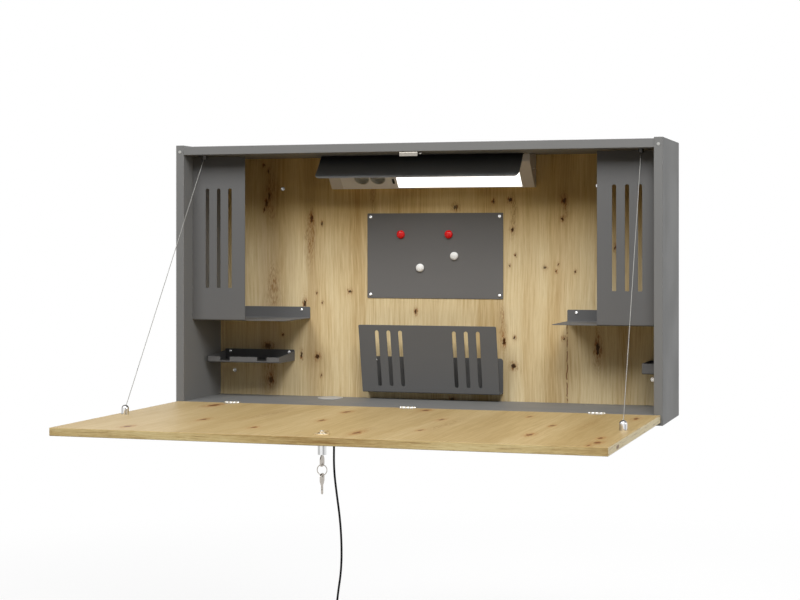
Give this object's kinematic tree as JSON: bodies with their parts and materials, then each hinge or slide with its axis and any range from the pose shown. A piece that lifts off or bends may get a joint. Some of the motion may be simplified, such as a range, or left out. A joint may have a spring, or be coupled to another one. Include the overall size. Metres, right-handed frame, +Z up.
{
  "type": "fold down wall desk",
  "caption": "Shallow wall cabinet whose oak door folds down on stay wires to make a desk, with racks, tray, lamp, sockets, magnet board and lock.",
  "frame": {"origin": "centre of the back panel's rear face, on the wall", "axes": "+Y into the wall, +X to the right of someone facing the desk, +Z up"},
  "size_m": [1.1, 0.7918, 1.2043],
  "materials": {
    "anthracite_board": "matt laminate",
    "oak_board": "oiled oak veneer",
    "rack_metal": "matt powder coat",
    "board_metal": "matt powder coat",
    "shade_metal": "black powder coat",
    "lamp_metal": "satin",
    "lamp_plastic": "satin",
    "diffuser": "opal",
    "led_board": "satin",
    "socket_plastic": "satin",
    "grommet_plastic": "satin",
    "black_plastic": "satin",
    "chrome": "polished",
    "bright_steel": "bright zinc plated",
    "beech": "plain",
    "cam_metal": "cast zinc",
    "bumper_rubber": "clear",
    "red_magnet": "gloss",
    "white_magnet": "gloss",
    "cord_rubber": "matt"
  },
  "bodies": {
    "cabinet": {"side_panel_left": "anthracite_board", "side_panel_right": "anthracite_board", "top_panel": "anthracite_board", "bottom_panel": "anthracite_board", "back_panel": "oak_board", "side_rack_left": "rack_metal", "side_rack_right": "rack_metal", "document_holder": "rack_metal", "pen_tray": "rack_metal", "small_tray": "rack_metal", "magnet_board": "board_metal", "lamp_shade": "shade_metal", "lamp_body": "lamp_metal", "lamp_cap_left": "lamp_plastic", "lamp_cap_right": "lamp_plastic", "lamp_diffuser": "diffuser", "led_strip": "led_board", "socket_inserts": "socket_plastic", "grommet_ring": "grommet_plastic", "usb_port": "black_plastic", "lamp_driver": "black_plastic", "mains_plug": "black_plastic", "hinge_leaf_cabinet_left": "chrome", "hinge_leaf_cabinet_middle": "chrome", "hinge_leaf_cabinet_right": "chrome", "wire_anchors_top": "chrome", "strike_plate": "chrome", "hinge_pins": "bright_steel", "hinge_screws_cabinet": "bright_steel", "fitting_screws": "bright_steel", "top_screws": "bright_steel", "lamp_cap_screws": "bright_steel", "stay_wire_left": "bright_steel", "stay_wire_right": "bright_steel", "carcass_dowels": "beech", "cam_fittings": "cam_metal", "door_bumpers": "bumper_rubber", "lamp_lead": "cord_rubber", "cord_gland": "cord_rubber", "power_cord": "cord_rubber", "cord_coil": "cord_rubber"},
    "door": {"door_panel": "oak_board", "hinge_leaf_door_left": "chrome", "hinge_leaf_door_middle": "chrome", "hinge_leaf_door_right": "chrome", "hinge_screws_door": "bright_steel", "wire_anchors_door": "chrome", "lock_housing": "chrome", "lock_nut": "chrome"},
    "lock_core": {"lock_plug": "chrome", "lock_cam": "bright_steel", "cam_screw": "bright_steel"},
    "key_in_lock": {"lock_key": "bright_steel"},
    "key_loop": {"key_ring": "bright_steel"},
    "key_on_loop": {"spare_key": "bright_steel"},
    "grommet_lid": {"grommet_cap": "grommet_plastic"},
    "magnet_a": {"magnet_1": "red_magnet"},
    "magnet_b": {"magnet_2": "red_magnet"},
    "magnet_c": {"magnet_3": "white_magnet"},
    "magnet_d": {"magnet_4": "white_magnet"}
  },
  "joints": [
    {"name": "door_fold", "type": "hinge", "parent": "cabinet", "child": "door", "pos_m": [0, -0.2232, -0.2765], "axis": [-1, 0, 0], "range_deg": [0, 90], "deforming": ["stay_wire_left", "stay_wire_right"]},
    {"name": "lock_turn", "type": "hinge", "parent": "door", "child": "lock_core", "pos_m": [-0.001, -0.7488, -0.2885], "axis": [0, 0, -1], "range_deg": [0, 180]},
    {"name": "key_pull", "type": "slide", "parent": "lock_core", "child": "key_in_lock", "axis": [0, 0, -1], "range_m": [0, 0.03]},
    {"name": "key_ring_swing", "type": "hinge", "parent": "key_in_lock", "child": "key_loop", "pos_m": [-0.001, -0.7488, -0.3327], "axis": [1, 0, 0], "range_deg": [-30, 30]},
    {"name": "spare_key_swing", "type": "hinge", "parent": "key_loop", "child": "key_on_loop", "pos_m": [-0.001, -0.7488, -0.3519], "axis": [1, 0, 0], "range_deg": [-30, 30]},
    {"name": "grommet_cap_turn", "type": "hinge", "parent": "cabinet", "child": "grommet_lid", "pos_m": [-0.24, -0.06, -0.2765], "axis": [0, 0, 1], "continuous": true},
    {"name": "magnet_a_pull", "type": "slide", "parent": "cabinet", "child": "magnet_a", "axis": [0, -1, 0], "range_m": [0, 0.04]},
    {"name": "magnet_b_pull", "type": "slide", "parent": "cabinet", "child": "magnet_b", "axis": [0, -1, 0], "range_m": [0, 0.04]},
    {"name": "magnet_c_pull", "type": "slide", "parent": "cabinet", "child": "magnet_c", "axis": [0, -1, 0], "range_m": [0, 0.04]},
    {"name": "magnet_d_pull", "type": "slide", "parent": "cabinet", "child": "magnet_d", "axis": [0, -1, 0], "range_m": [0, 0.04]}
  ]
}
